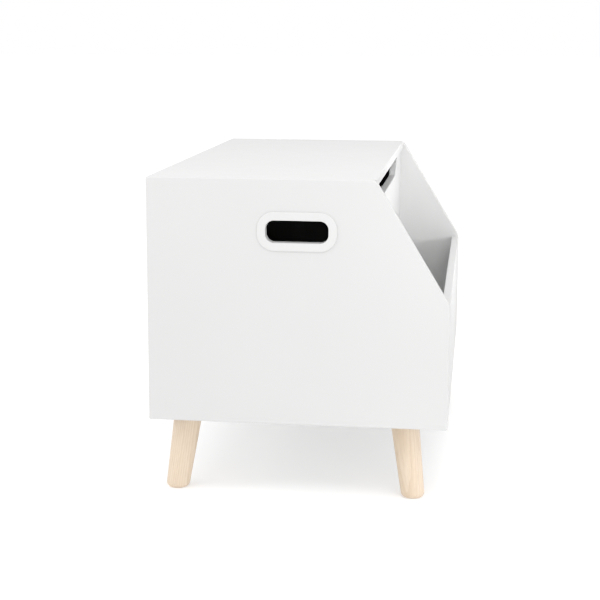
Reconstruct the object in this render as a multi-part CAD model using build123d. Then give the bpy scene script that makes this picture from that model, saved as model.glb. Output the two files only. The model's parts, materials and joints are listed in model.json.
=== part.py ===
"""A child's toy box: a low chest with a hinged lid, and an open book bin in front of it.

Two side panels with a sloped front edge carry everything else between them: the back, the
bottom, the chest front, the bin's lower front and the lid. Four turned legs splay out from
steel plates under the bottom. The lid turns on two friction hinges behind the back panel.
Units are millimetres. +Z is up, the open front faces -Y, and the origin is on the floor at
the centre of the overall footprint.
"""

from build123d import *
import math
import os

# ------------------------------------------------------------------ driving dimensions
width = 680.0  # over the two side panels
body_depth = 420.0  # face of the bin front to face of the back
body_height = 344.0  # side panel, lower edge to top edge
leg_height = 110.0  # floor to the lower edge of the side panels
board = 12.0  # every panel is cut from the same board
slope_run = 103.0  # the side's sloped edge, front to back
slope_drop = 170.0  # and top to bottom
slope_top_rounding = 12.0
slope_foot_rounding = 25.0
corner_rounding = 2.5  # the sides' other corners
bin_front_height = 171.0  # its top edge above the sides' lower edge
chest_set_back = 108.0  # face of the bin front to face of the chest front
bottom_recess = 10.0  # underside of the bottom above the sides' lower edges
arris = 1.5  # rounding along the boards' exposed edges
hidden_arris = 1.0  # and along the back panel's
lid_side_gap = 1.0
lid_front_gap = 1.5  # between the lid and the chest front, where the bumpers sit
lid_back_gap = 0.8  # between the lid and the back panel's top edge

finger_recess_top = 486.0
finger_recess_bottom = 376.0
finger_recess_drop = 35.5  # below the lid's underside
finger_recess_rounding = 8.0

handle_length = 87.0  # clear opening of a side handle
handle_height = 30.5
handle_corner = 12.0  # corner radius of the opening
handle_below_top = 72.0
grip_flange = 12.0  # width of the grip's flange round the opening
grip_flange_depth = 2.2
grip_outer_rounding = 1.8
grip_inner_rounding = 1.4
grip_wall = 2.2
grip_fit = 0.2  # play between a grip and its cut-out

leg_top_diameter = 41.0
leg_foot_diameter = 33.0
leg_splay = 7.5  # degrees, sideways and lengthways alike
leg_from_side = 55.0  # leg axis at the sides' lower edge
leg_from_front = 62.0
leg_from_back = 46.0
leg_foot_rounding = 7.0
leg_top_rounding = 1.0
leg_seat = 2.0  # leg top above the sides' lower edge, along the leg
plate_size = 64.0
plate_corner = 8.0
plate_thick = 2.5
plate_cup_diameter = 38.0
plate_screw_spacing = 46.0
bolt_diameter = 8.0
bolt_in_leg = 32.0
bolt_above_seat = 7.0
bolt_hole_spare = 2.0  # depth of the leg's bore beyond the bolt's end

hinge_spacing = 420.0
hinge_length = 70.0
hinge_leaf = 2.0  # leaf thickness
hinge_leaf_corner = 6.0
hinge_leaf_down = 38.0  # from the axis to the fixed leaf's foot
hinge_leaf_in = 45.0  # from the back face to the lid leaf's far edge
hinge_notch_side = 1.0  # play round the lid leaf in the back panel's notch
hinge_notch_under = 0.8
barrel_radius = 7.0
hinge_pin_radius = 2.5
pin_head_radius = 4.0
pin_head_height = 1.5
pin_head_rounding = 1.0
cartridge_radius = 4.9
barrel_off_back = 0.4  # the turning barrel clears the back panel
running_gap = 0.05
turning_gap = 0.6  # between the fixed leaf and the turning knuckle
sleeve_play = 0.02
knuckle_gap = 0.3
knuckle_share = 0.25  # of the hinge's length, each outer knuckle
lid_leaf_set_in = 0.8  # the lid leaf's sides end this far short of the back face

plate_screw_length = 12.5
hinge_screw_length = 11.0
screw_pilot_radius = 1.65
screw_shank_radius = 1.6
screw_head_radius = 3.4
screw_head_height = 2.0
screw_head_rounding = 1.2
screw_sunk_radius = 3.1
screw_sunk_depth = 1.8
screw_play = 0.15  # round a screw in its leaf
bolt_play = 0.1
plate_hole_radius = 1.95
pan_cross_size = 3.8
pan_cross_depth = 1.0
flush_cross_size = 3.2
flush_cross_depth = 0.8

# ------------------------------------------------------------------ derived positions
half_width = width / 2
inner_half = half_width - board
beyond = width  # reach of a cutter that goes past the whole object
through = 1.0  # how far a cutter runs past a face that it opens
drill_extra = 0.5  # depth of a blind hole beyond what goes in it
hinge_pilot_depth = hinge_screw_length - hinge_leaf + drill_extra
hinge_proud = 2 * barrel_radius + barrel_off_back
y_front = -(body_depth + hinge_proud) / 2
y_back = y_front + body_depth
y_back_inner = y_back - board
y_bin_inner = y_front + board
y_chest = y_front + chest_set_back
z_low = leg_height
z_top = z_low + body_height
z_lid = z_top - board  # underside of the lid
z_floor_under = z_low + bottom_recess
z_floor = z_floor_under + board
z_chest_top = z_lid - lid_front_gap
z_back_top = z_lid - lid_back_gap
z_handle = z_top - handle_below_top
y_handle = (y_front + y_back) / 2
y_axis = y_back + barrel_off_back + barrel_radius
z_axis = z_lid - barrel_radius
hinge_places = [("left", -hinge_spacing / 2), ("right", hinge_spacing / 2)]
sides = [("left", -1), ("right", 1)]


# ------------------------------------------------------------------ helpers
touching = 0.01  # edges this close to a height are taken to lie at it
cross_arm_share = 0.22  # width of a cross recess's arms, of its size


def block(x, y, z):
    """A box from three (low, high) pairs."""
    spans = [sorted(pair) for pair in (x, y, z)]
    centre = [(low + high) / 2 for low, high in spans]
    return Pos(*centre) * Box(*[high - low for low, high in spans])


def rod(start, direction, length, radius):
    """A cylinder from start, along direction."""
    frame = Plane(origin=start, z_dir=direction)
    return extrude(frame * Circle(radius), amount=length)


def outline(corners):
    """A flat face from (u, v, corner radius) triples."""
    face = Polygon(*[(u, v) for u, v, _ in corners], align=None)
    for u, v, radius in corners:
        if radius:
            face = fillet(face.vertices().sort_by_distance((u, v))[0], radius)
    return face


def upright(face, x, thickness):
    """A (y, z) face stood up at x and thickened towards +X."""
    return extrude(Plane.YZ.offset(x) * face, amount=thickness)


def crosswise(face, y, thickness):
    """An (x, z) face stood up at y and thickened towards +Y."""
    return extrude(Plane.XZ.offset(-y) * face, amount=-thickness)


def long_edges(part, z):
    """The edges along X at height z."""
    return part.edges().filter_by(Axis.X).filter_by_position(Axis.Z, z - touching, z + touching)


def cross_recess(place, size, depth):
    """The cutter for a cross-head recess, sunk along the place's -Z."""
    arm = size * cross_arm_share
    return place * (Box(size, arm, 2 * depth) + Box(arm, size, 2 * depth))


# ------------------------------------------------------------------ knock-down fittings
bolt_thread_radius = 2.4
bolt_thread_length = 8.0
bolt_collar_radius = 3.5
bolt_collar_length = 1.2
bolt_shaft_radius = 1.6
bolt_head_radius = 2.8
bolt_head_length = 3.0
bolt_head_before_cam = 2.0  # from the head's start to the cam's axis
bolt_bore_radius = 3.6
cam_from_end = 24.0
cam_radius = 5.9
cam_hole_radius = 6.0
cam_depth = 9.3
cam_bore_radius = 3.4
cam_cross_size = 6.5
cam_cross_depth = 1.6
dowel_radius = 3.0
dowel_hole_radius = 3.05
dowel_bevel = 0.8
dowel_in_side = 8.0
dowel_in_panel = 19.0

bottom_cams = (135.0, 210.0, 315.0)  # behind the bin front's face
bottom_dowels = (170.0, 280.0)
back_cams = (62.0, 284.0)  # above the sides' lower edge, like the rest below
back_dowels = (112.0, 234.0)
chest_cams = (72.0, 254.0)
chest_dowels = (122.0, 204.0)
bin_cams = (40.0, 130.0)
bin_dowels = (85.0,)


def bottom_fittings():
    """(y, z, kind) for each fitting at the ends of the bottom panel."""
    z = z_floor_under + board / 2
    cams = [(y_front + back, z, "cam") for back in bottom_cams]
    return cams + [(y_front + back, z, "dowel") for back in bottom_dowels]


def upright_fittings(y_face, cam_heights, dowel_heights):
    """(y, z, kind) for each fitting at the ends of an upright panel."""
    y = y_face + board / 2
    cams = [(y, z_low + up, "cam") for up in cam_heights]
    return cams + [(y, z_low + up, "dowel") for up in dowel_heights]


# panel name: (fittings at each end, the way its cam holes open)
joints = {
    "bottom": (bottom_fittings(), (0, 0, -1)),
    "back": (upright_fittings(y_back_inner, back_cams, back_dowels), (0, -1, 0)),
    "chest": (upright_fittings(y_chest, chest_cams, chest_dowels), (0, 1, 0)),
    "bin": (upright_fittings(y_front, bin_cams, bin_dowels), (0, 1, 0)),
}


def cam_centre(side, y, z, opens):
    """The middle of a cam's mouth, on the face it opens to."""
    x = side * (inner_half - cam_from_end)
    return tuple(c + o * board / 2 for c, o in zip((x, y, z), opens))


def end_drillings(name):
    """Everything drilled into a cross panel for its fittings."""
    fittings, opens = joints[name]
    cutters = []
    for _, side in sides:
        inward = (-side, 0, 0)
        for y, z, kind in fittings:
            start = (side * inner_half, y, z)
            if kind == "dowel":
                cutters.append(rod(start, inward, dowel_in_panel + drill_extra, dowel_hole_radius))
                continue
            cutters.append(rod(start, inward, cam_from_end, bolt_bore_radius))
            into = tuple(-o for o in opens)
            mouth = cam_centre(side, y, z, opens)
            cutters.append(rod(mouth, into, cam_depth + drill_extra, cam_hole_radius))
    return cutters


def side_drillings(side):
    """Every blind hole in the inner face of a side panel."""
    outward = (side, 0, 0)
    cutters = []
    for fittings, _ in joints.values():
        for y, z, kind in fittings:
            start = (side * inner_half, y, z)
            if kind == "dowel":
                cutters.append(rod(start, outward, dowel_in_side + drill_extra, dowel_hole_radius))
            else:
                length = bolt_thread_length + drill_extra
                cutters.append(rod(start, outward, length, bolt_thread_radius + running_gap))
    return cutters


def cam_bolt(side, y, z):
    """A cam bolt: thread in the side panel, collar, shaft, and a head inside the cam."""
    outward, inward = (side, 0, 0), (-side, 0, 0)
    face = (side * inner_half, y, z)
    shaft_length = cam_from_end - bolt_head_before_cam
    neck_end = (side * (inner_half - shaft_length), y, z)
    thread = rod(face, outward, bolt_thread_length, bolt_thread_radius)
    collar = rod(face, inward, bolt_collar_length, bolt_collar_radius)
    shaft = rod(face, inward, shaft_length, bolt_shaft_radius)
    return thread + collar + shaft + rod(neck_end, inward, bolt_head_length, bolt_head_radius)


def cam(side, y, z, opens):
    """A cam lock, bored for the bolt's head and cross-slotted on its face."""
    into = tuple(-o for o in opens)
    mouth = cam_centre(side, y, z, opens)
    body = rod(mouth, into, cam_depth, cam_radius)
    bore_start = (side * (inner_half - cam_from_end + cam_radius + through), y, z)
    bore_length = through + cam_radius - bolt_head_before_cam + 2 * bolt_head_length
    bore = rod(bore_start, (-side, 0, 0), bore_length, cam_bore_radius)
    slot = cross_recess(Plane(origin=mouth, z_dir=opens).location, cam_cross_size, cam_cross_depth)
    return body - bore - slot


def dowel(side, y, z):
    """A chamfered beech dowel across one joint."""
    start = (side * (inner_half + dowel_in_side), y, z)
    pin = rod(start, (-side, 0, 0), dowel_in_side + dowel_in_panel, dowel_radius)
    return chamfer(pin.edges().filter_by(GeomType.CIRCLE), dowel_bevel)


def every_fitting(kind):
    """(side, y, z, opens) for each fitting of one kind."""
    return [
        (side, y, z, opens)
        for fittings, opens in joints.values()
        for _, side in sides
        for y, z, found in fittings
        if found == kind
    ]


# ------------------------------------------------------------------ panels
def side_panel(side):
    """A side: sloped front edge, handle cut-out, blind holes on the inner face."""
    profile = outline([
        (y_front, z_low, corner_rounding),
        (y_back, z_low, corner_rounding),
        (y_back, z_top, corner_rounding),
        (y_front + slope_run, z_top, slope_top_rounding),
        (y_front, z_top - slope_drop, slope_foot_rounding),
    ])
    panel = upright(profile, min(side * half_width, side * inner_half), board)
    rims = panel.edges().filter_by(Plane.YZ)
    panel = fillet(rims, arris)
    cut_out = upright(handle_shape(grip_wall + grip_fit), side * half_width - 2 * board, 4 * board)
    return panel - [cut_out, *side_drillings(side)]


def back_panel():
    """The back, notched for the lid leaves and drilled for the hinge screws."""
    panel = block((-inner_half, inner_half), (y_back_inner, y_back), (z_low, z_back_top))
    panel = fillet(long_edges(panel, z_back_top) + long_edges(panel, z_low), hidden_arris)
    notch_half = hinge_length / 2 + hinge_notch_side
    notches = [
        block(
            (x - notch_half, x + notch_half),
            (y_back_inner - through, y_back + through),
            (z_lid - hinge_leaf - hinge_notch_under, z_lid),
        )
        for _, x in hinge_places
    ]
    pilots = [
        rod((x, y_back, z), (0, -1, 0), hinge_pilot_depth, screw_pilot_radius)
        for _, place in hinge_places
        for x, z in fixed_leaf_holes(place)
    ]
    return panel - [*notches, *pilots, *end_drillings("back")]


def bottom_panel():
    """The bottom of both the chest and the bin, drilled for the leg plates' screws."""
    panel = block((-inner_half, inner_half), (y_bin_inner, y_back_inner), (z_floor_under, z_floor))
    depth = plate_screw_length - plate_thick + drill_extra
    pilots = [
        rod((x, y, z_floor_under), (0, 0, 1), depth, screw_pilot_radius)
        for _, sx, sy in leg_places
        for x, y in plate_holes(sx, sy)
    ]
    return panel - [*pilots, *end_drillings("bottom")]


def chest_front_panel():
    """The wall between chest and bin, with a wide finger recess under the lid."""
    top, low = finger_recess_top / 2, finger_recess_bottom / 2
    z_recess = z_lid - finger_recess_drop
    face = outline([
        (-inner_half, z_floor, 0),
        (inner_half, z_floor, 0),
        (inner_half, z_chest_top, 0),
        (top, z_chest_top, finger_recess_rounding),
        (low, z_recess, finger_recess_rounding),
        (-low, z_recess, finger_recess_rounding),
        (-top, z_chest_top, finger_recess_rounding),
        (-inner_half, z_chest_top, 0),
    ])
    panel = crosswise(face, y_chest, board)
    upper = panel.edges().filter_by(Plane.XZ).filter_by_position(Axis.Z, z_recess - touching, z_top)
    return fillet(upper, arris) - end_drillings("chest")


def bin_front_panel():
    """The low front of the book bin."""
    z_high = z_low + bin_front_height
    panel = block((-inner_half, inner_half), (y_front, y_bin_inner), (z_low, z_high))
    edges = long_edges(panel, z_high) + long_edges(panel, z_low)
    return fillet(edges, arris) - end_drillings("bin")


def lid_panel():
    """The lid, which lies between the sides and over the chest front and the back."""
    half = inner_half - lid_side_gap
    panel = block((-half, half), (y_front + slope_run, y_back), (z_lid, z_top))
    rims = panel.edges().filter_by(Plane.XY)
    panel = fillet(rims, arris)
    pilots = [
        rod((x, y, z_lid), (0, 0, 1), hinge_pilot_depth, screw_pilot_radius)
        for _, place in hinge_places
        for x, y in lid_leaf_holes(place)
    ]
    return panel - pilots


# ------------------------------------------------------------------ side handle grips
def handle_shape(margin=0.0):
    """The handle's opening as a (y, z) face, widened by a margin all round."""
    size = (handle_length + 2 * margin, handle_height + 2 * margin)
    return Pos(y_handle, z_handle) * RectangleRounded(*size, handle_corner + margin)


def grip_half(side, face_x, outward):
    """One half of a grip: a flange on one face of the side and a sleeve to mid-board."""
    x_dir = side * outward
    middle = side * (half_width - board / 2)
    rim = face_x + x_dir * grip_flange_depth
    flange = upright(handle_shape(grip_flange), min(face_x, rim), grip_flange_depth)
    edges = flange.edges().filter_by_position(Axis.X, rim - touching, rim + touching)
    flange = fillet(edges, grip_outer_rounding)
    sleeve = upright(handle_shape(grip_wall), min(face_x, middle), abs(face_x - middle))
    hole = upright(handle_shape(), side * half_width - 2 * board, 4 * board)
    half = flange + sleeve - hole
    face = half.faces().filter_by(Plane.YZ).sort_by(Axis.X)[-1 if x_dir > 0 else 0]
    return fillet(face.inner_wires()[0].edges(), grip_inner_rounding)


# ------------------------------------------------------------------ legs and their plates
leg_places = [
    ("front_left", -1, -1),
    ("front_right", 1, -1),
    ("back_left", -1, 1),
    ("back_right", 1, 1),
]
leg_slant = math.tan(math.radians(leg_splay))


def leg_frame(sx, sy):
    """The leg's own frame: origin where its axis meets the sides' lower edge, +Z up the leg."""
    x = sx * (half_width - leg_from_side)
    y = y_front + leg_from_front if sy < 0 else y_back - leg_from_back
    return Plane(origin=(x, y, z_low), z_dir=(-sx * leg_slant, -sy * leg_slant, 1))


def leg_length():
    """From the sides' lower edge down to the floor, along the leg."""
    return leg_height * math.sqrt(1 + 2 * leg_slant**2)


def on_leg(sx, sy, start, end, shape):
    """A round shape made about the origin, moved to lie from start to end up the leg's axis."""
    return leg_frame(sx, sy).location * Pos(0, 0, (start + end) / 2) * shape


def leg_rod(sx, sy, start, end, radius):
    """A cylinder from start to end, measured up the leg's axis."""
    return on_leg(sx, sy, start, end, Cylinder(radius, end - start))


def leg(sx, sy):
    """A turned leg, cut level with the floor, its foot rounded, bored for its bolt."""
    blank_spare = 12.0  # length turned beyond the floor, then sawn off level
    taper = (leg_top_diameter - leg_foot_diameter) / 2 / (leg_length() + leg_seat)
    blank_radius = leg_foot_diameter / 2 - blank_spare * taper
    blank_end = -leg_length() - blank_spare
    turned = Cone(blank_radius, leg_top_diameter / 2, leg_seat - blank_end)
    body = on_leg(sx, sy, blank_end, leg_seat, turned)
    body = body - block((-beyond, beyond), (-beyond, beyond), (-beyond, 0))
    body = fillet(body.edges().sort_by(Axis.Z)[0], leg_foot_rounding)
    body = fillet(body.edges().sort_by(Axis.Z)[-1], leg_top_rounding)
    bore_end = leg_seat - bolt_in_leg - bolt_hole_spare
    return body - leg_rod(sx, sy, bore_end, leg_seat + through, bolt_diameter / 2)


def plate_centre(sx, sy):
    """Where the leg's axis meets the underside of the bottom panel."""
    x, y, _ = leg_frame(sx, sy).origin
    inward = leg_slant * bottom_recess
    return x - sx * inward, y - sy * inward


def plate_holes(sx, sy):
    """The four screw places of a leg plate."""
    x, y = plate_centre(sx, sy)
    step = plate_screw_spacing / 2
    return [(x + i * step, y + j * step) for i in (-1, 1) for j in (-1, 1)]


def leg_plate(sx, sy):
    """A pressed plate with a slanted cup, tapped for the leg's bolt."""
    x, y = plate_centre(sx, sy)
    z_under = z_floor_under - plate_thick
    sheet = Pos(x, y, z_under) * RectangleRounded(plate_size, plate_size, plate_corner)
    flange = extrude(sheet, amount=plate_thick)
    cup_radius = plate_cup_diameter / 2
    cup_end = leg_seat + 2 * bottom_recess
    cup = leg_rod(sx, sy, leg_seat, cup_end, cup_radius)
    inside = leg_rod(sx, sy, leg_seat + plate_thick, cup_end + through, cup_radius - plate_thick)
    above = block((-beyond, beyond), (-beyond, beyond), (z_floor_under, beyond))
    thread = leg_rod(sx, sy, leg_seat - through, leg_seat + plate_thick + through, bolt_diameter / 2)
    holes = [
        rod((hole_x, hole_y, z_under - through), (0, 0, 1), plate_thick + 2 * through, plate_hole_radius)
        for hole_x, hole_y in plate_holes(sx, sy)
    ]
    return (flange + cup) - [above, inside, thread, *holes]


def hanger_bolt(sx, sy):
    """The bolt that joins a leg to its plate."""
    radius = bolt_diameter / 2 - bolt_play
    return leg_rod(sx, sy, leg_seat - bolt_in_leg, leg_seat + bolt_above_seat, radius)


# ------------------------------------------------------------------ screws
def pan_screw(x, y, z, length):
    """A cross-head pan screw driven upwards, its head under height z."""
    shank = rod((x, y, z), (0, 0, 1), length, screw_shank_radius)
    head = rod((x, y, z - screw_head_height), (0, 0, 1), screw_head_height, screw_head_radius)
    head = fillet(head.edges().sort_by(Axis.Z)[0], screw_head_rounding)
    face = Pos(x, y, z - screw_head_height)
    return shank + head - cross_recess(face, pan_cross_size, pan_cross_depth)


def flush_screw(head_centre, direction, length):
    """A countersunk screw with its face at head_centre."""
    frame = Plane(origin=head_centre, z_dir=direction).location
    cone = Cone(screw_sunk_radius, screw_shank_radius, screw_sunk_depth)
    countersink = frame * Pos(0, 0, screw_sunk_depth / 2) * cone
    shank = rod(head_centre, direction, length, screw_shank_radius)
    return shank + countersink - cross_recess(frame, flush_cross_size, flush_cross_depth)


# ------------------------------------------------------------------ hinges
# how far each screw lies along the hinge from its middle, and from the edge at the barrel
leaf_screws = [(-25.0, 9.0), (25.0, 9.0), (-12.0, 23.0), (12.0, 23.0)]
lid_leaf_first = 11.0  # the lid leaf's screws lie this much further in


def fixed_leaf_holes(place):
    """(x, z) of the screws that hold a fixed leaf to the back."""
    return [(place + along, z_axis - barrel_radius - down) for along, down in leaf_screws]


def lid_leaf_holes(place):
    """(x, y) of the screws that hold a lid leaf up to the lid."""
    return [(place + along, y_back - lid_leaf_first - inward) for along, inward in leaf_screws]


def axis_bore(start, end, radius):
    """The cutter for a bore along the hinge axis, open at both ends."""
    return rod((start - through, y_axis, z_axis), (1, 0, 0), end - start + 2 * through, radius)


def knuckle(start, end, bore):
    """A length of hinge barrel."""
    tube = rod((start, y_axis, z_axis), (1, 0, 0), end - start, barrel_radius)
    return tube - axis_bore(start, end, bore)


def countersunk_hole(point, direction):
    """The cutter for one flush screw in a leaf."""
    sink = Cone(screw_sunk_radius + screw_play, screw_shank_radius + screw_play, screw_sunk_depth)
    frame = Plane(origin=point, z_dir=direction).location
    cone = frame * Pos(0, 0, screw_sunk_depth / 2) * sink
    return cone + rod(point, direction, 2 * hinge_leaf, screw_shank_radius + screw_play)


def fixed_leaf(place):
    """The leaf on the back panel, with a knuckle at each end of the barrel."""
    left, right = place - hinge_length / 2, place + hinge_length / 2
    end_knuckle = hinge_length * knuckle_share
    z_foot = z_axis - hinge_leaf_down
    z_clear = z_axis - barrel_radius - turning_gap
    sheet = outline([
        (left, z_foot, hinge_leaf_corner),
        (right, z_foot, hinge_leaf_corner),
        (right, z_axis, 0),
        (right - end_knuckle, z_axis, 0),
        (right - end_knuckle, z_clear, 0),
        (left + end_knuckle, z_clear, 0),
        (left + end_knuckle, z_axis, 0),
        (left, z_axis, 0),
    ])
    leaf = crosswise(sheet, y_back, hinge_leaf)
    bore = hinge_pin_radius + running_gap
    barrel = knuckle(left, left + end_knuckle, bore) + knuckle(right - end_knuckle, right, bore)
    sinks = [countersunk_hole((x, y_back + hinge_leaf, z), (0, -1, 0)) for x, z in fixed_leaf_holes(place)]
    return leaf + barrel - [axis_bore(left, right, bore), *sinks]


def lid_leaf(place):
    """The leaf under the lid, with the middle knuckle, which turns on the friction sleeve."""
    left, right = place - hinge_length / 2, place + hinge_length / 2
    inset = hinge_length * knuckle_share + knuckle_gap
    bore = cartridge_radius + running_gap
    y_edge = y_back - lid_leaf_set_in
    y_far = y_back - hinge_leaf_in
    sheet = outline([
        (left, y_far, hinge_leaf_corner),
        (right, y_far, hinge_leaf_corner),
        (right, y_edge, 0),
        (right - inset, y_edge, 0),
        (right - inset, y_axis, 0),
        (left + inset, y_axis, 0),
        (left + inset, y_edge, 0),
        (left, y_edge, 0),
    ])
    leaf = extrude(Plane.XY.offset(z_lid - hinge_leaf) * sheet, amount=hinge_leaf)
    barrel = knuckle(left + inset, right - inset, bore)
    sinks = [countersunk_hole((x, y, z_lid - hinge_leaf), (0, 0, 1)) for x, y in lid_leaf_holes(place)]
    return leaf + barrel - [axis_bore(left, right, bore), *sinks]


def hinge_pin(place):
    """The pin through all three knuckles, with a domed head at each end."""
    left = place - hinge_length / 2
    shaft = rod((left, y_axis, z_axis), (1, 0, 0), hinge_length, hinge_pin_radius)
    heads = [
        rod((x, y_axis, z_axis), (1, 0, 0), pin_head_height, pin_head_radius)
        for x in (left - pin_head_height, left + hinge_length)
    ]
    outer_rims = (shaft + heads).edges().filter_by(GeomType.CIRCLE).sort_by(Axis.X)
    return fillet([outer_rims[0], outer_rims[-1]], pin_head_rounding)


def friction_sleeve(place):
    """The sleeve on the pin that makes the lid stay where it is put and close slowly."""
    inset = hinge_length * knuckle_share
    start, end = place - hinge_length / 2 + inset, place + hinge_length / 2 - inset
    sleeve = rod((start, y_axis, z_axis), (1, 0, 0), end - start, cartridge_radius)
    return sleeve - axis_bore(start, end, hinge_pin_radius + sleeve_play)


# ------------------------------------------------------------------ lid bumpers
bumper_radius = 4.0
bumper_rounding = 0.6
bumper_spacing = 590.0
bumper_lid_gap = 0.3


def bumper(x):
    """A soft button on the chest front's top edge."""
    height = lid_front_gap - bumper_lid_gap
    button = rod((x, y_chest + board / 2, z_chest_top), (0, 0, 1), height, bumper_radius)
    return fillet(button.edges().sort_by(Axis.Z)[-1], bumper_rounding)


# ------------------------------------------------------------------ the whole object
def build():
    """Every sub-part by node name."""
    parts = {
        "back_panel": back_panel(),
        "bottom_panel": bottom_panel(),
        "chest_front_panel": chest_front_panel(),
        "bin_front_panel": bin_front_panel(),
        "lid_panel": lid_panel(),
        "cam_locks": [cam(*found) for found in every_fitting("cam")],
        "cam_bolts": [cam_bolt(*found[:3]) for found in every_fitting("cam")],
        "wood_dowels": [dowel(*found[:3]) for found in every_fitting("dowel")],
        "lid_bumpers": [bumper(x) for x in (-bumper_spacing / 2, bumper_spacing / 2)],
        "leg_plate_screws": [
            pan_screw(x, y, z_floor_under - plate_thick, plate_screw_length)
            for _, sx, sy in leg_places
            for x, y in plate_holes(sx, sy)
        ],
        "hinge_back_screws": [
            flush_screw((x, y_back + hinge_leaf, z), (0, -1, 0), hinge_screw_length)
            for _, place in hinge_places
            for x, z in fixed_leaf_holes(place)
        ],
        "hinge_lid_screws": [
            flush_screw((x, y, z_lid - hinge_leaf), (0, 0, 1), hinge_screw_length)
            for _, place in hinge_places
            for x, y in lid_leaf_holes(place)
        ],
    }
    for name, side in sides:
        parts[f"side_panel_{name}"] = side_panel(side)
        parts[f"handle_grip_{name}_outer"] = grip_half(side, side * half_width, 1)
        parts[f"handle_grip_{name}_inner"] = grip_half(side, side * inner_half, -1)
    for name, sx, sy in leg_places:
        parts[f"leg_{name}"] = leg(sx, sy)
        parts[f"leg_plate_{name}"] = leg_plate(sx, sy)
        parts[f"hanger_bolt_{name}"] = hanger_bolt(sx, sy)
    for name, place in hinge_places:
        parts[f"hinge_back_leaf_{name}"] = fixed_leaf(place)
        parts[f"hinge_lid_leaf_{name}"] = lid_leaf(place)
        parts[f"hinge_pin_{name}"] = hinge_pin(place)
        parts[f"hinge_friction_sleeve_{name}"] = friction_sleeve(place)
    return parts


os.makedirs("parts", exist_ok=True)
for node, shape in build().items():
    solids = shape if isinstance(shape, list) else [shape]
    export_step(Compound(children=[s for found in solids for s in found.solids()]), f"parts/{node}.step")
    print(node, len(solids))
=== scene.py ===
import json
import math

import bmesh
import bpy
from mathutils import Matrix, Vector


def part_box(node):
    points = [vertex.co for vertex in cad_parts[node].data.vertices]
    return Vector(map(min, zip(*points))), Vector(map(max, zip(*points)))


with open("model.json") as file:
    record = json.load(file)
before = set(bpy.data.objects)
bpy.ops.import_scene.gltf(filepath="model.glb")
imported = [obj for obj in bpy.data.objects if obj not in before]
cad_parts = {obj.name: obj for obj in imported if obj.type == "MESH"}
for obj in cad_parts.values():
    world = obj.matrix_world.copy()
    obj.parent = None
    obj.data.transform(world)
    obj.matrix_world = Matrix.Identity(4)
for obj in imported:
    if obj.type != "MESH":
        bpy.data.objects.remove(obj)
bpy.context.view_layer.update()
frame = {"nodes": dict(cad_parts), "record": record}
nodes = frame["nodes"]


def toned(colour, factor):
    """A colour made darker, or lighter if factor is over 1."""
    return tuple(channel * factor for channel in colour)


# ------------------------------------------------------------------ colours
WHITE = (1.0, 1.0, 1.0, 1.0)
LACQUER = (0.59, 0.59, 0.588)
LACQUER_CLOUDED = toned(LACQUER, 0.985)
LACQUER_RUBBED = (0.55, 0.535, 0.51)
PLASTIC = (0.605, 0.605, 0.602)
PLASTIC_CLOUDED = toned(PLASTIC, 0.98)
STEEL = (0.63, 0.64, 0.65)
NICKEL = (0.66, 0.645, 0.62)
CASTING = (0.42, 0.42, 0.43)
MOTTLED = 0.93  # how dark a plated metal's mottle is, of its own colour
BEECH = (0.62, 0.44, 0.27)
BEECH_FLECKED = toned(BEECH, 0.7)
RUBBER = (0.75, 0.77, 0.77)
RUBBER_HAZED = toned(RUBBER, 0.93)
ACETAL = (0.03, 0.03, 0.032)
ACETAL_PALE = toned(ACETAL, 1.6)
ASH_LIGHT = (0.69, 0.565, 0.435)
ASH_DARK = (0.56, 0.42, 0.295)
ASH_PALE = (0.72, 0.61, 0.49)
ASH_PORE = toned(ASH_DARK, 0.75)
FLOOR_WHITE = (0.80, 0.80, 0.80)
FLOOR_SHADED = toned(FLOOR_WHITE, 0.995)

# ------------------------------------------------------------------ patterns, in features to a metre
LACQUER_CLOUDS = 5.0
LACQUER_RUBS = 26.0
LACQUER_SMEARS = 38.0
ORANGE_PEEL = 70.0
SPRAY_GRAIN = 900.0
PLASTIC_CLOUDS = 30.0
PLASTIC_SMEARS = 400.0
SPARK_GRIT = 2600.0
PLATE_STREAKS = 900.0
PLATE_MOTTLE = 160.0
BEECH_FLECKS = 900.0
RUBBER_HAZE = 700.0
ACETAL_GRAIN = 1500.0
ASH_RINGS = 100.0
ASH_DRIFT = 28.0
ASH_FIBRES = 520.0
ASH_PORES = 1700.0
FLOOR_CLOUDS = 2.0

# ------------------------------------------------------------------ relief, in metres
PEEL_HEIGHT = 0.00006
SPRAY_HEIGHT = 0.00002
GRIT_HEIGHT = 0.00003
STREAK_HEIGHT = 0.00002
FLECK_HEIGHT = 0.0001
ACETAL_HEIGHT = 0.00003
PORE_HEIGHT = 0.00006

# ------------------------------------------------------------------ roughness, of glossy and of dull spots
LACQUER_ROUGH = (0.46, 0.54)
LACQUER_SPECULAR = 0.1
PLASTIC_ROUGH = (0.32, 0.42)
ZINC_ROUGH = 0.28
NICKEL_ROUGH = 0.22
CASTING_ROUGH = 0.42
PLATE_DULLER = 0.12  # how much rougher the dull spots are than the bright ones
BEECH_ROUGH = (0.55, 0.7)
RUBBER_ROUGH = (0.25, 0.4)
RUBBER_CLEAR = 0.4
ACETAL_ROUGH = (0.3, 0.45)
ASH_ROUGH = (0.42, 0.56)
FLOOR_ROUGH = 0.9
FLOOR_SPECULAR = 0.1

# ------------------------------------------------------------------ wear along the lacquer's edges
RUBBED_WIDTH = 0.0016  # metres to each side of an edge
RUBBED_TURN = (0.86, 0.99)  # how flat an edge is, as a cosine, where it is fully rubbed and not at all
RUBBED_THROUGH = 0.55  # how far the rubbed colour shows
RUBBED_ROUGHER = 0.2

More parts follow.
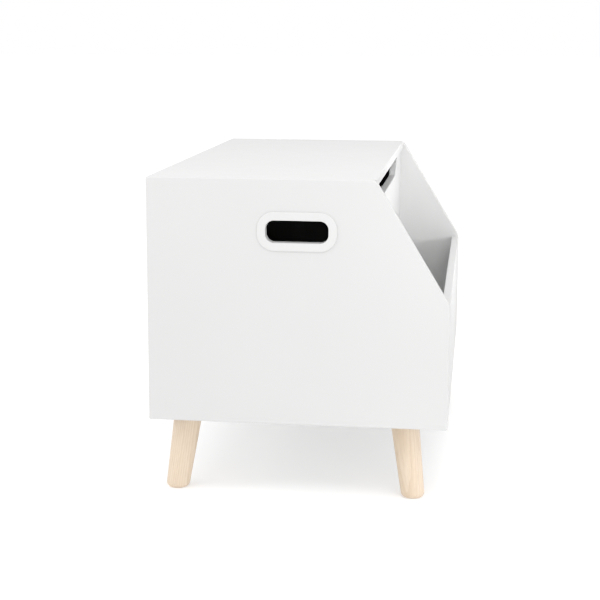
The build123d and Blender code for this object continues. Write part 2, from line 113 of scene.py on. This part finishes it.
# ------------------------------------------------------------------ grain
STREAKS_DRAWN_OUT = 50.0  # how many times longer than wide a plated metal's streaks are
AS_CAST = 1.0
BEECH_DRAWN_OUT = 12.0
SPLAY = 7.5  # degrees by which the legs lean, sideways and lengthways alike
ASH_DRAWN_OUT = 20.0  # how many times longer than wide the rings and fibres are
PORES_DRAWN_OUT = 60.0
HEART_ASIDE = 0.004  # metres from the low corner of a leg's box to the centre of its rings
HEART_IN_FRONT = 0.07
NEXT_LEG_ASIDE = 0.05  # metres by which that centre moves from one leg to the next
NEXT_LEG_BEHIND = 0.03

# the Mix node's sockets for mixing colours
MIX_AMOUNT = 0
MIX_FIRST = 6
MIX_SECOND = 7
MIX_RESULT = 2


class Finish:
    """A material being built: its nodes, its shader, and short ways to add and join nodes."""

    def __init__(self, name):
        self.material = bpy.data.materials.new(name)
        self.material.use_nodes = True
        self.tree = self.material.node_tree
        self.shader = self.tree.nodes["Principled BSDF"]
        self.place = self.add("ShaderNodeTexCoord").outputs["Object"]

    def add(self, kind, **settings):
        """A new node. Names of its own properties are set on it, any other name is an input."""
        node = self.tree.nodes.new(kind)
        for name, value in settings.items():
            if hasattr(node, name):
                setattr(node, name, value)
            else:
                self.feed(node.inputs[name.replace("_", " ")], value)
        return node

    def feed(self, socket, value):
        """Joins a socket to another, or sets its value."""
        if isinstance(value, bpy.types.NodeSocket):
            self.tree.links.new(value, socket)
        else:
            socket.default_value = value

    def drawn_out(self, factors, turn=(0, 0, 0), shift=(0, 0, 0)):
        """Object coordinates, moved and turned, with patterns drawn out by a factor along each axis."""
        return self.add(
            "ShaderNodeMapping",
            vector_type="TEXTURE",
            Location=shift,
            Rotation=turn,
            Scale=factors,
            Vector=self.place,
        ).outputs["Vector"]

    def noise(self, scale, detail=4.0, roughness=0.55, place=None):
        """Fractal noise, with about scale features to a metre."""
        return self.add(
            "ShaderNodeTexNoise",
            Scale=scale,
            Detail=detail,
            Roughness=roughness,
            Vector=place or self.place,
        ).outputs["Fac"]

    def spread(self, value, to=(0.0, 1.0), out_of=(0.3, 0.7)):
        """Maps a pattern from the range out_of to the range to."""
        return self.add(
            "ShaderNodeMapRange",
            From_Min=out_of[0],
            From_Max=out_of[1],
            To_Min=to[0],
            To_Max=to[1],
            Value=value,
        ).outputs["Result"]

    def blend(self, amount, first, second):
        """Mixes two colours."""
        node = self.add("ShaderNodeMix", data_type="RGBA")
        self.feed(node.inputs[MIX_AMOUNT], amount)
        for socket, value in ((MIX_FIRST, first), (MIX_SECOND, second)):
            colour = value if isinstance(value, bpy.types.NodeSocket) else (*value, 1.0)
            self.feed(node.inputs[socket], colour)
        return node.outputs[MIX_RESULT]

    def combine(self, operation, first, second):
        """One arithmetic step between two patterns."""
        node = self.add("ShaderNodeMath", operation=operation)
        self.feed(node.inputs[0], first)
        self.feed(node.inputs[1], second)
        return node.outputs[0]

    def bump(self, height, distance, strength=1.0, under=None):
        """Raises the surface by a pattern, up to distance metres, over any relief that is under it."""
        node = self.add("ShaderNodeBump", Strength=strength, Distance=distance, Height=height)
        if under is not None:
            self.feed(node.inputs["Normal"], under)
        return node.outputs["Normal"]

    def edges(self, radius):
        """1 on the flats, and less within radius of an edge."""
        soft = self.add("ShaderNodeBevel", samples=4, Radius=radius)
        hard = self.add("ShaderNodeNewGeometry")
        dot = self.add("ShaderNodeVectorMath", operation="DOT_PRODUCT")
        self.feed(dot.inputs[0], soft.outputs["Normal"])
        self.feed(dot.inputs[1], hard.outputs["Normal"])
        return dot.outputs["Value"]

    def done(self, **inputs):
        """Sets or joins the shader's inputs by name, and gives the material."""
        for name, value in inputs.items():
            self.feed(self.shader.inputs[name.replace("_", " ")], value)
        return self.material


# ------------------------------------------------------------------ finishes
def white_lacquer():
    """Sprayed satin lacquer on fibreboard: orange peel, faint clouding, rubbed thin on the edges."""
    finish = Finish("white_lacquer")
    cloud = finish.spread(finish.noise(LACQUER_CLOUDS, detail=3.0))
    tone = finish.blend(cloud, LACQUER, LACQUER_CLOUDED)
    edge = finish.spread(finish.edges(RUBBED_WIDTH), to=(1.0, 0.0), out_of=RUBBED_TURN)
    rubs = finish.noise(LACQUER_RUBS, detail=5.0, roughness=0.7)
    patches = finish.spread(rubs, to=(0.0, RUBBED_THROUGH), out_of=(0.45, 0.7))
    worn = finish.combine("MULTIPLY", edge, patches)
    tone = finish.blend(worn, tone, LACQUER_RUBBED)
    smears = finish.spread(finish.noise(LACQUER_SMEARS, detail=5.0, roughness=0.6), to=LACQUER_ROUGH)
    rough = finish.combine("ADD", smears, finish.combine("MULTIPLY", worn, RUBBED_ROUGHER))
    peel = finish.bump(finish.noise(ORANGE_PEEL, detail=2.0, roughness=0.4), PEEL_HEIGHT, strength=0.5)
    spray = finish.noise(SPRAY_GRAIN, detail=2.0, roughness=0.5)
    skin = finish.bump(spray, SPRAY_HEIGHT, strength=0.4, under=peel)
    return finish.done(Base_Color=tone, Roughness=rough, Specular_IOR_Level=LACQUER_SPECULAR, Normal=skin)


def grip_plastic():
    """Satin moulded plastic, with a fine spark-eroded texture."""
    finish = Finish("grip_plastic")
    cloud = finish.spread(finish.noise(PLASTIC_CLOUDS))
    tone = finish.blend(cloud, PLASTIC, PLASTIC_CLOUDED)
    rough = finish.spread(finish.noise(PLASTIC_SMEARS), to=PLASTIC_ROUGH)
    grit = finish.bump(finish.noise(SPARK_GRIT, detail=2.0), GRIT_HEIGHT, strength=0.5)
    return finish.done(Base_Color=tone, Roughness=rough, Normal=grit)


def plated(name, colour, roughness, streaked=STREAKS_DRAWN_OUT):
    """Plated steel with drawn streaks, or a casting, with a mottled gloss."""
    finish = Finish(name)
    lengthways = finish.drawn_out((streaked, 1, 1))
    streaks = finish.noise(PLATE_STREAKS, detail=3.0, roughness=0.6, place=lengthways)
    mottle = finish.noise(PLATE_MOTTLE, detail=5.0)
    tone = finish.blend(finish.spread(mottle), colour, toned(colour, MOTTLED))
    uneven = finish.combine("ADD", streaks, mottle)
    rough = finish.spread(uneven, to=(roughness, roughness + PLATE_DULLER), out_of=(0.7, 1.3))
    skin = finish.bump(streaks, STREAK_HEIGHT, strength=0.4)
    return finish.done(Base_Color=tone, Metallic=1.0, Roughness=rough, Normal=skin)


def dowel_wood():
    """Bare beech, flecked along the dowel."""
    finish = Finish("dowel_wood")
    fleck = finish.noise(BEECH_FLECKS, roughness=0.6, place=finish.drawn_out((BEECH_DRAWN_OUT, 1, 1)))
    tone = finish.blend(finish.spread(fleck), BEECH, BEECH_FLECKED)
    rough = finish.spread(fleck, to=BEECH_ROUGH)
    return finish.done(Base_Color=tone, Roughness=rough, Normal=finish.bump(fleck, FLECK_HEIGHT))


def soft_rubber():
    """Clear bumper rubber, slightly hazed."""
    finish = Finish("clear_rubber")
    haze = finish.spread(finish.noise(RUBBER_HAZE))
    tone = finish.blend(haze, RUBBER, RUBBER_HAZED)
    rough = finish.spread(haze, to=RUBBER_ROUGH)
    return finish.done(Base_Color=tone, Roughness=rough, Transmission_Weight=RUBBER_CLEAR)


def black_acetal():
    """Dark self-oiling plastic."""
    finish = Finish("black_acetal")
    grain = finish.noise(ACETAL_GRAIN)
    tone = finish.blend(finish.spread(grain), ACETAL, ACETAL_PALE)
    rough = finish.spread(grain, to=ACETAL_ROUGH)
    return finish.done(Base_Color=tone, Roughness=rough, Normal=finish.bump(grain, ACETAL_HEIGHT))


def leg_wood(name, number):
    """Pale straight-grained wood under matt lacquer, its grain along the leg."""
    low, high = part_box(name)
    side = -1 if low.x + high.x < 0 else 1
    end = -1 if low.y + high.y < 0 else 1
    slant = math.tan(math.radians(SPLAY))
    up_the_leg = Vector((-side * slant, -end * slant, 1)).normalized()
    turn = Vector((0, 0, 1)).rotation_difference(up_the_leg).to_euler()
    heart = (
        low.x + side * HEART_ASIDE + number * NEXT_LEG_ASIDE,
        low.y - HEART_IN_FRONT + number * NEXT_LEG_BEHIND,
        0,
    )
    finish = Finish(f"{name}_wood")
    along = finish.drawn_out((1, 1, ASH_DRAWN_OUT), turn, heart)
    far_along = finish.drawn_out((1, 1, PORES_DRAWN_OUT), turn, heart)
    rings = finish.add(
        "ShaderNodeTexWave",
        wave_type="RINGS",
        rings_direction="Z",
        wave_profile="SAW",
        Scale=ASH_RINGS,
        Distortion=2.4,
        Detail=3.0,
        Detail_Scale=1.4,
        Vector=along,
    ).outputs["Fac"]
    drift = finish.noise(ASH_DRIFT, detail=3.0, roughness=0.5, place=along)
    fibres = finish.noise(ASH_FIBRES, detail=6.0, roughness=0.65, place=along)
    pores = finish.noise(ASH_PORES, detail=3.0, roughness=0.6, place=far_along)
    late_wood = finish.spread(rings, to=(0.0, 0.5), out_of=(0.25, 1.0))
    dark_fibres = finish.spread(fibres, to=(0.0, 0.35))
    open_pores = finish.spread(pores, to=(0.0, 0.5), out_of=(0.55, 0.7))
    tone = finish.blend(finish.spread(drift), ASH_LIGHT, ASH_PALE)
    tone = finish.blend(late_wood, tone, ASH_DARK)
    tone = finish.blend(dark_fibres, tone, ASH_DARK)
    tone = finish.blend(open_pores, tone, ASH_PORE)
    rough = finish.spread(fibres, to=ASH_ROUGH)
    grain = finish.bump(finish.combine("ADD", pores, fibres), PORE_HEIGHT, strength=0.6)
    return finish.done(Base_Color=tone, Roughness=rough, Normal=grain)


# ------------------------------------------------------------------ dress the CAD nodes
def dress(name, material):
    """Gives a CAD node its finish."""
    data = nodes[name].data
    data.materials.clear()
    data.materials.append(material)


finishes = {
    "white_lacquer": white_lacquer(),
    "grip_plastic": grip_plastic(),
    "zinc_steel": plated("zinc_steel", STEEL, ZINC_ROUGH),
    "nickel_steel": plated("nickel_steel", NICKEL, NICKEL_ROUGH),
    "zinc_casting": plated("zinc_casting", CASTING, CASTING_ROUGH, AS_CAST),
    "dowel_wood": dowel_wood(),
    "clear_rubber": soft_rubber(),
    "black_acetal": black_acetal(),
}
for part in frame["record"]["subparts"]:
    if part["material_slot"] in finishes:
        dress(part["node"], finishes[part["material_slot"]])

# each leg is cut from its own stretch of wood
legs = [name for name in nodes if name.startswith("leg_") and "plate" not in name]
for number, name in enumerate(legs):
    dress(name, leg_wood(name, number))

# ------------------------------------------------------------------ floor, light and camera
FLOOR_SIZE = 60.0
FLOOR_GLOW = 0.27
SKY_STRENGTH = 1.0
OPEN_BEAM = 180.0

# soft boxes: name, place, aim, width, watts, and the degrees to which a grid narrows the beam
SOFT_BOXES = [
    ("key", (-0.85, -0.5, 1.0), (-0.3, -0.2, 0.4), 0.5, 2.1, OPEN_BEAM),
    ("fill", (-0.8, 0.6, 1.0), (-0.34, 0.12, 0.42), 0.5, 1.5, OPEN_BEAM),
    ("front", (-0.4, -1.2, 1.25), (0, 0, 0.35), 0.7, 0.7, OPEN_BEAM),
    ("top", (0, -0.1, 1.7), (0, 0, 0.4), 1.0, 5.0, OPEN_BEAM),
    ("back", (-0.5, 1.3, 0.7), (0, 0.1, 0), 0.5, 2.8, OPEN_BEAM),
    ("bin", (-0.8, -1.2, 0.5), (0.1, -0.109, 0.43), 0.25, 0.45, 30.0),
    ("side", (-1.3, -0.5, 0.3), (-0.34, -0.15, 0.15), 0.5, 1.4, OPEN_BEAM),
    ("leg", (-0.7, -1.1, 0.1), (-0.29, -0.16, 0.03), 0.2, 0.03, 20.0),
]

CAMERA_PLACE = (-2.2012, -0.2515, 0.657)
CAMERA_TURN = 7.34  # degrees, from looking straight along the box's width
CAMERA_TILT = -9.65
CAMERA_ROLL = 0.19
SENSOR_WIDTH = 36.0  # millimetres, as the lens is
LENS_LENGTH = 83.5
LENS_SHIFT = -0.06  # of the sensor's width

# the curve that works on all colours alike, and its points: a shade, and the shade it is printed as
COMBINED_CURVE = 3
TONE_CURVE = [(0.04, 0.008), (0.12, 0.09), (0.25, 0.25)]


def floor():
    """A wide white floor, faintly uneven."""
    mesh = bpy.data.meshes.new("floor")
    shape = bmesh.new()
    bmesh.ops.create_grid(shape, x_segments=1, y_segments=1, size=FLOOR_SIZE / 2)
    shape.to_mesh(mesh)
    shape.free()
    ground = bpy.data.objects.new("floor", mesh)
    bpy.context.scene.collection.objects.link(ground)
    finish = Finish("floor_white")
    tone = finish.blend(finish.noise(FLOOR_CLOUDS), FLOOR_WHITE, FLOOR_SHADED)
    white = finish.done(
        Base_Color=tone,
        Roughness=FLOOR_ROUGH,
        Specular_IOR_Level=FLOOR_SPECULAR,
        Emission_Color=WHITE,
        Emission_Strength=FLOOR_GLOW,
    )
    mesh.materials.append(white)


def sky():
    """Even white light from all round."""
    world = bpy.data.worlds.new("studio")
    world.use_nodes = True
    background = world.node_tree.nodes["Background"]
    background.inputs["Color"].default_value = WHITE
    background.inputs["Strength"].default_value = SKY_STRENGTH
    bpy.context.scene.world = world


def soft_box(name, place, aim, width, watts, beam):
    """A square soft box at place, turned to aim."""
    light = bpy.data.lights.new(name, "AREA")
    light.shape = "SQUARE"
    light.size = width
    light.energy = watts
    light.spread = math.radians(beam)
    lamp = bpy.data.objects.new(name, light)
    lamp.location = place
    lamp.rotation_euler = (Vector(aim) - Vector(place)).to_track_quat("-Z", "Y").to_euler()
    lamp.visible_camera = False
    bpy.context.scene.collection.objects.link(lamp)


def camera():
    """A long lens at the box's left end, a little in front of it and above its lid."""
    turn, tilt, roll = (math.radians(angle) for angle in (CAMERA_TURN, CAMERA_TILT, CAMERA_ROLL))
    forward = Vector((math.cos(tilt) * math.cos(turn), math.cos(tilt) * math.sin(turn), math.sin(tilt)))
    lens = bpy.data.cameras.new("camera")
    lens.sensor_width = SENSOR_WIDTH
    lens.lens = LENS_LENGTH
    lens.shift_y = LENS_SHIFT
    eye = bpy.data.objects.new("camera", lens)
    level = forward.to_track_quat("-Z", "Y").to_matrix().to_4x4()
    eye.matrix_world = Matrix.Translation(CAMERA_PLACE) @ level @ Matrix.Rotation(roll, 4, "Z")
    bpy.context.scene.collection.objects.link(eye)
    bpy.context.scene.camera = eye


def develop():
    """A print-like tone curve: full whites, and blacks that close up."""
    look = bpy.context.scene.view_settings
    look.view_transform = "Standard"
    look.use_curve_mapping = True
    curve = look.curve_mapping.curves[COMBINED_CURVE]
    for shade, printed in TONE_CURVE:
        curve.points.new(shade, printed)
    look.curve_mapping.update()


floor()
sky()
for box in SOFT_BOXES:
    soft_box(*box)
camera()
develop()
